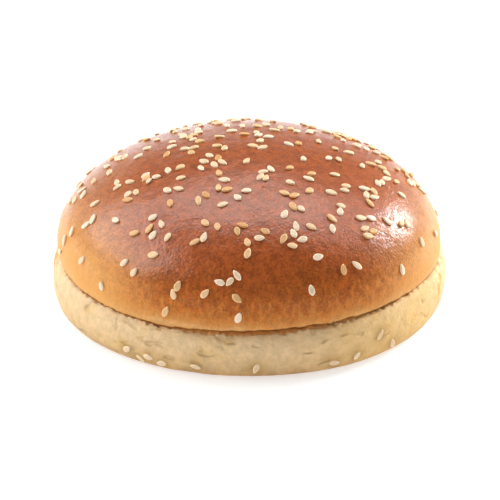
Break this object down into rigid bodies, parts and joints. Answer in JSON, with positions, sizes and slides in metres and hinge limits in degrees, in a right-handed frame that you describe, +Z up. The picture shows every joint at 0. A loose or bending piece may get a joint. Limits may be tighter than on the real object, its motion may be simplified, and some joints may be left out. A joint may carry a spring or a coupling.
{
  "type": "burger bun",
  "caption": "Round sliced burger bun: a low glazed dome crown with sesame seeds resting on a flat pale heel, to hold a filling between its cut faces.",
  "frame": {"origin": "centre of the flat underside of the heel, on the surface that the bun stands on", "axes": "+Z up through the crown; the bun is round about Z, and -Y is the front"},
  "size_m": [0.1166, 0.117, 0.0485],
  "materials": {
    "glazed_crust": "satin",
    "pale_crust": "matte",
    "sesame_hull": "satin"
  },
  "bodies": {
    "root": {"heel": "pale_crust", "crown": "glazed_crust", "crown_seed_01": "sesame_hull", "crown_seed_02": "sesame_hull", "crown_seed_03": "sesame_hull", "crown_seed_04": "sesame_hull", "crown_seed_05": "sesame_hull", "crown_seed_06": "sesame_hull", "crown_seed_07": "sesame_hull", "crown_seed_08": "sesame_hull", "crown_seed_09": "sesame_hull", "crown_seed_10": "sesame_hull", "crown_seed_11": "sesame_hull", "crown_seed_12": "sesame_hull", "crown_seed_13": "sesame_hull", "crown_seed_14": "sesame_hull", "crown_seed_15": "sesame_hull", "crown_seed_16": "sesame_hull", "crown_seed_17": "sesame_hull", "crown_seed_18": "sesame_hull", "crown_seed_19": "sesame_hull", "crown_seed_20": "sesame_hull", "crown_seed_21": "sesame_hull", "crown_seed_22": "sesame_hull", "crown_seed_23": "sesame_hull", "crown_seed_24": "sesame_hull", "crown_seed_25": "sesame_hull", "crown_seed_26": "sesame_hull", "crown_seed_27": "sesame_hull", "crown_seed_28": "sesame_hull", "crown_seed_29": "sesame_hull", "crown_seed_30": "sesame_hull", "crown_seed_31": "sesame_hull", "crown_seed_32": "sesame_hull", "crown_seed_33": "sesame_hull", "crown_seed_34": "sesame_hull", "crown_seed_35": "sesame_hull", "crown_seed_36": "sesame_hull", "crown_seed_37": "sesame_hull", "crown_seed_38": "sesame_hull", "crown_seed_39": "sesame_hull", "crown_seed_40": "sesame_hull", "crown_seed_41": "sesame_hull", "crown_seed_42": "sesame_hull", "crown_seed_43": "sesame_hull", "crown_seed_44": "sesame_hull", "crown_seed_45": "sesame_hull", "crown_seed_46": "sesame_hull", "crown_seed_47": "sesame_hull", "heel_seed_01": "sesame_hull", "heel_seed_02": "sesame_hull", "heel_seed_03": "sesame_hull", "heel_seed_04": "sesame_hull", "heel_seed_05": "sesame_hull", "heel_seed_06": "sesame_hull", "heel_seed_07": "sesame_hull", "heel_seed_08": "sesame_hull", "heel_seed_09": "sesame_hull", "heel_seed_10": "sesame_hull", "heel_seed_11": "sesame_hull"}
  },
  "joints": []
}
